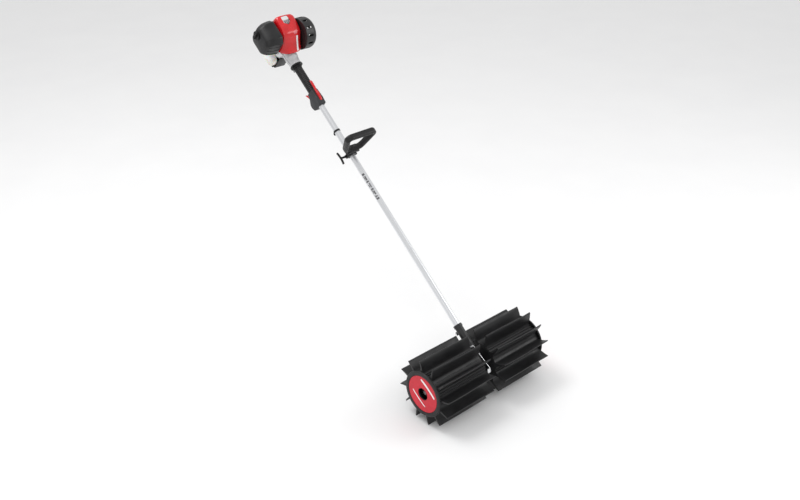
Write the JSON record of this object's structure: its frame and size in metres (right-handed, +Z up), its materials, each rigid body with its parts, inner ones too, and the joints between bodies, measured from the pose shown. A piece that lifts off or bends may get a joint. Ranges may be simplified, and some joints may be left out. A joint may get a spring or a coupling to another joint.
{
  "type": "hand-held power sweeper",
  "caption": "Petrol-engined hand-held sweeper: a straight tube and worm gearcase turn a two-part drum of rubber paddles.",
  "frame": {"origin": "on the floor plane, below the middle of the machine's width and of its whole length, with the lowest paddle tips on the floor", "axes": "+X along the drum's axle to the operator's right, +Y forwards (away from the operator), +Z up; the drive tube rises backwards (towards -Y) at 39.6 degrees to the floor"},
  "size_m": [0.5872, 1.4671, 1.2997],
  "materials": {
    "rubber": "matte, moulded",
    "black_plastic": "fine grain",
    "grey_plastic": "fine grain",
    "red_plastic": "moulded, half gloss",
    "disc_red": "smooth",
    "zinc_steel": "zinc plated",
    "dark_steel": "oiled",
    "tube_aluminium": "satin anodised",
    "cast_aluminium": "as cast",
    "black_metal": "matt black",
    "bronze": "machined",
    "tank_plastic": "translucent white",
    "felt": "felt",
    "muffler_steel": "heat stained",
    "white_ceramic": "glazed"
  },
  "bodies": {
    "machine": {"guard_plate": "zinc_steel", "gearcase_right": "black_metal", "gearcase_left": "black_metal", "housing_screws": "zinc_steel", "ball_bearings": "zinc_steel", "drive_tube": "tube_aluminium", "shaft_bushings": "bronze", "hanger_clip": "black_plastic", "control_housing_right": "grey_plastic", "control_housing_left": "grey_plastic", "throttle_cable": "black_plastic", "rear_grip": "rubber", "grip_collar": "black_plastic", "clutch_housing": "cast_aluminium", "fan_housing": "cast_aluminium", "crankcase_front": "cast_aluminium", "crankcase_rear": "cast_aluminium", "engine_cylinder": "cast_aluminium", "piston": "cast_aluminium", "wrist_pin": "dark_steel", "connecting_rod": "zinc_steel", "ignition_coil": "black_plastic", "spark_plug": "white_ceramic", "carburetor": "cast_aluminium", "filter_base": "black_plastic", "air_filter": "felt", "filter_cover": "black_plastic", "muffler": "muffler_steel", "muffler_guard": "black_metal", "engine_cover": "red_plastic", "fuel_tank": "tank_plastic", "tank_stand": "black_plastic", "starter_housing": "black_plastic"},
    "drum": {"output_shaft": "dark_steel", "worm_wheel": "bronze", "drum_cores": "black_plastic", "paddles": "rubber", "end_caps": "black_plastic", "end_discs": "disc_red", "drum_bolts": "zinc_steel"},
    "drive_line": {"worm": "dark_steel", "drive_shaft": "dark_steel", "clutch_drum": "dark_steel"},
    "engine_rotor": {"crankshaft": "dark_steel", "big_end_bearing": "bronze", "flywheel": "cast_aluminium", "clutch_shoes": "dark_steel"},
    "starter_pulley": {"starter_pulley": "black_plastic"},
    "starter_handle": {"starter_handle": "black_plastic"},
    "throttle_trigger": {"throttle_trigger": "red_plastic"},
    "throttle_lever": {"throttle_lever": "zinc_steel"},
    "lockout_lever": {"lockout_lever": "red_plastic"},
    "stop_switch": {"stop_switch": "red_plastic"},
    "choke_lever": {"choke_lever": "black_plastic"},
    "primer_bulb": {"primer_bulb": "rubber"},
    "fuel_cap": {"fuel_cap": "black_plastic"},
    "cover_knob": {"cover_knob": "black_plastic"},
    "front_handle": {"loop_handle": "black_plastic", "handle_clamp": "black_plastic"},
    "handle_knob": {"handle_knob": "black_plastic"}
  },
  "joints": [
    {"name": "drum_spin", "type": "hinge", "parent": "machine", "child": "drum", "pos_m": [0, 0.59773, 0.13581], "axis": [1, 0, 0], "continuous": true},
    {"name": "drive_line_spin", "type": "hinge", "parent": "machine", "child": "drive_line", "pos_m": [0, 0.23351, 0.47995], "axis": [0, -0.7705, 0.6374], "continuous": true},
    {"name": "engine_spin", "type": "hinge", "parent": "machine", "child": "engine_rotor", "pos_m": [0, -0.62407, 1.1894], "axis": [0, -0.7705, 0.6374], "continuous": true},
    {"name": "starter_pulley_turn", "type": "hinge", "parent": "machine", "child": "starter_pulley", "pos_m": [0, -0.66645, 1.22446], "axis": [0, -0.7705, 0.6374], "range_deg": [0, 1604]},
    {"name": "starter_pull", "type": "slide", "parent": "machine", "child": "starter_handle", "axis": [-1, 0, 0], "range_m": [0, 0.7]},
    {"name": "throttle_trigger_pull", "type": "hinge", "parent": "machine", "child": "throttle_trigger", "pos_m": [0, -0.40255, 0.9724], "axis": [-1, 0, 0], "range_deg": [0, 18]},
    {"name": "throttle_lever_turn", "type": "hinge", "parent": "machine", "child": "throttle_lever", "pos_m": [0.048, -0.582, 1.24025], "axis": [0, 0.6374, 0.7705], "range_deg": [0, 72]},
    {"name": "lockout_press", "type": "hinge", "parent": "machine", "child": "lockout_lever", "pos_m": [0, -0.35628, 0.99382], "axis": [1, 0, 0], "range_deg": [0, 5]},
    {"name": "stop_switch_slide", "type": "slide", "parent": "machine", "child": "stop_switch", "axis": [0, -0.7705, 0.6374], "range_m": [0, 0.005]},
    {"name": "choke_turn", "type": "hinge", "parent": "machine", "child": "choke_lever", "pos_m": [0.062, -0.63941, 1.254], "axis": [0, 0.7705, -0.6374], "range_deg": [0, 75]},
    {"name": "primer_press", "type": "slide", "parent": "machine", "child": "primer_bulb", "axis": [0, 0.6374, 0.7705], "range_m": [0, 0.0035]},
    {"name": "fuel_cap_turn", "type": "hinge", "parent": "machine", "child": "fuel_cap", "pos_m": [-0.064, -0.682, 1.13349], "axis": [-1, 0, 0], "range_deg": [0, 360]},
    {"name": "cover_knob_turn", "type": "hinge", "parent": "machine", "child": "cover_knob", "pos_m": [0.13, -0.60275, 1.24184], "axis": [1, 0, 0], "range_deg": [0, 720]},
    {"name": "handle_slide", "type": "slide", "parent": "machine", "child": "front_handle", "axis": [0, -0.7705, 0.6374], "range_m": [-0.08, 0.06]},
    {"name": "handle_knob_turn", "type": "hinge", "parent": "front_handle", "child": "handle_knob", "pos_m": [0.03, -0.1795, 0.79177], "axis": [1, 0, 0], "range_deg": [0, 360]}
  ],
  "couplings": [
    {"joint": "drive_line_spin", "follows": "drum_spin", "ratio": -24},
    {"joint": "starter_pull", "follows": "starter_pulley_turn", "m_per_rad": 0.025},
    {"joint": "throttle_lever_turn", "follows": "throttle_trigger_pull", "ratio": 4}
  ]
}
